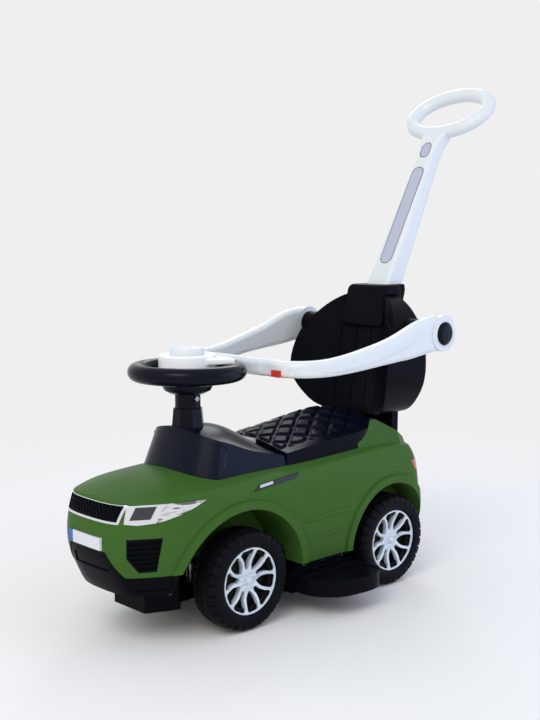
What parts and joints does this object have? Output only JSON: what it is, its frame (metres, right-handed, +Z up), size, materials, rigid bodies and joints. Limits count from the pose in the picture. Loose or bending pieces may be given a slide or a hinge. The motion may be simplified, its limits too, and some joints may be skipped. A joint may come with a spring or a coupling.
{
  "type": "push car with handle",
  "caption": "Child's ride-on push car with an SUV-shaped moulded body, steering wheel, lift-up guard, bucket back, slide-out footrests and a tall ring push handle.",
  "frame": {"origin": "middle of the overall box, on the ground under the wheels", "axes": "+Z up, the car faces -Y, its left side is +X"},
  "size_m": [0.3748, 0.9092, 0.9008],
  "materials": {
    "shell_green": "gloss",
    "black_gloss": "gloss",
    "black_satin": "satin",
    "white_plastic": "gloss",
    "white_hub": "gloss",
    "rim_silver": "satin",
    "tyre_black": "matte",
    "steel": "brushed",
    "chrome_trim": "polished",
    "lamp_clear": "gloss",
    "lamp_red": "gloss",
    "button_red": "gloss",
    "plate_white": "satin",
    "decal_lilac": "satin"
  },
  "bodies": {
    "car": {"body_shell": "shell_green", "front_bumper": "black_satin", "grille_surround": "chrome_trim", "grille_mesh": "black_satin", "headlamp_left": "lamp_clear", "headlamp_right": "lamp_clear", "fog_grille_left": "black_satin", "fog_grille_right": "black_satin", "side_vent_left": "black_satin", "side_vent_right": "black_satin", "tail_lamp_left": "lamp_red", "tail_lamp_right": "lamp_red", "number_plate": "plate_white", "chassis_pan": "black_satin", "rear_axle": "steel", "rear_axle_caps": "rim_silver", "kingpins": "steel", "floor_screws": "steel", "dashboard_cowl": "black_gloss", "console_insert": "white_plastic", "column_boot": "black_satin", "seat": "black_gloss", "backrest_front": "black_satin", "backrest_rear": "black_satin", "backrest_stem": "black_satin", "headrest": "black_satin", "guard_pivots": "black_satin", "guard_knobs": "black_gloss", "push_handle": "white_plastic", "handle_decal": "decal_lilac", "handle_badge": "decal_lilac"},
    "steering": {"steering_shaft": "steel", "column_sleeve": "black_satin", "column_screw": "steel", "steering_crank": "steel", "steering_wheel": "black_gloss", "wheel_pad": "white_hub"},
    "horn": {"horn_button": "white_plastic"},
    "tie_rod": {"tie_rod": "steel"},
    "knuckle_left": {"knuckle_left": "black_satin", "stub_axle_left": "steel", "axle_cap_front_left": "rim_silver"},
    "knuckle_right": {"knuckle_right": "black_satin", "stub_axle_right": "steel", "axle_cap_front_right": "rim_silver"},
    "wheel_front_left": {"rim_front_left": "rim_silver", "tyre_front_left": "tyre_black"},
    "wheel_front_right": {"rim_front_right": "rim_silver", "tyre_front_right": "tyre_black"},
    "wheel_rear_left": {"rim_rear_left": "rim_silver", "tyre_rear_left": "tyre_black"},
    "wheel_rear_right": {"rim_rear_right": "rim_silver", "tyre_rear_right": "tyre_black"},
    "guard": {"guard_left_arm": "white_plastic", "guard_right_arm": "white_plastic"},
    "release_button": {"release_button": "button_red"},
    "footrest_left": {"footrest_left": "black_satin"},
    "footrest_right": {"footrest_right": "black_satin"}
  },
  "joints": [
    {"name": "steer", "type": "hinge", "parent": "car", "child": "steering", "pos_m": [0, -0.25157, 0.35], "axis": [0, 0, 1], "range_deg": [-18, 18]},
    {"name": "horn_press", "type": "slide", "parent": "steering", "child": "horn", "axis": [0, 0, -1], "range_m": [0, 0.003], "stiffness_N_per_m": 600},
    {"name": "tie_rod_pin", "type": "hinge", "parent": "steering", "child": "tie_rod", "pos_m": [0, -0.21357, 0.08], "axis": [0, 0, 1], "range_deg": [-18, 18]},
    {"name": "knuckle_left_pin", "type": "hinge", "parent": "car", "child": "knuckle_left", "pos_m": [0.048, -0.22397, 0.0825], "axis": [0, 0, 1], "range_deg": [-18, 18]},
    {"name": "knuckle_right_pin", "type": "hinge", "parent": "car", "child": "knuckle_right", "pos_m": [-0.048, -0.22397, 0.0825], "axis": [0, 0, 1], "range_deg": [-18, 18]},
    {"name": "roll_front_left", "type": "hinge", "parent": "knuckle_left", "child": "wheel_front_left", "pos_m": [0.0935, -0.22397, 0.0825], "axis": [1, 0, 0], "continuous": true},
    {"name": "roll_front_right", "type": "hinge", "parent": "knuckle_right", "child": "wheel_front_right", "pos_m": [-0.0935, -0.22397, 0.0825], "axis": [1, 0, 0], "continuous": true},
    {"name": "roll_rear_left", "type": "hinge", "parent": "car", "child": "wheel_rear_left", "pos_m": [0.0935, 0.11923, 0.0825], "axis": [1, 0, 0], "continuous": true},
    {"name": "roll_rear_right", "type": "hinge", "parent": "car", "child": "wheel_rear_right", "pos_m": [-0.0935, 0.11923, 0.0825], "axis": [1, 0, 0], "continuous": true},
    {"name": "guard_lift", "type": "hinge", "parent": "car", "child": "guard", "pos_m": [0, 0.17443, 0.454], "axis": [-1, 0, 0], "range_deg": [0, 100]},
    {"name": "release_press", "type": "slide", "parent": "guard", "child": "release_button", "axis": [0, 1, 0], "range_m": [0, 0.003], "stiffness_N_per_m": 600},
    {"name": "footrest_left_slide", "type": "slide", "parent": "car", "child": "footrest_left", "axis": [1, 0, 0], "range_m": [-0.055, 0]},
    {"name": "footrest_right_slide", "type": "slide", "parent": "car", "child": "footrest_right", "axis": [-1, 0, 0], "range_m": [-0.055, 0]}
  ],
  "couplings": [
    {"joint": "tie_rod_pin", "follows": "steer", "ratio": -1},
    {"joint": "knuckle_left_pin", "follows": "steer", "ratio": 1},
    {"joint": "knuckle_right_pin", "follows": "steer", "ratio": 1}
  ]
}
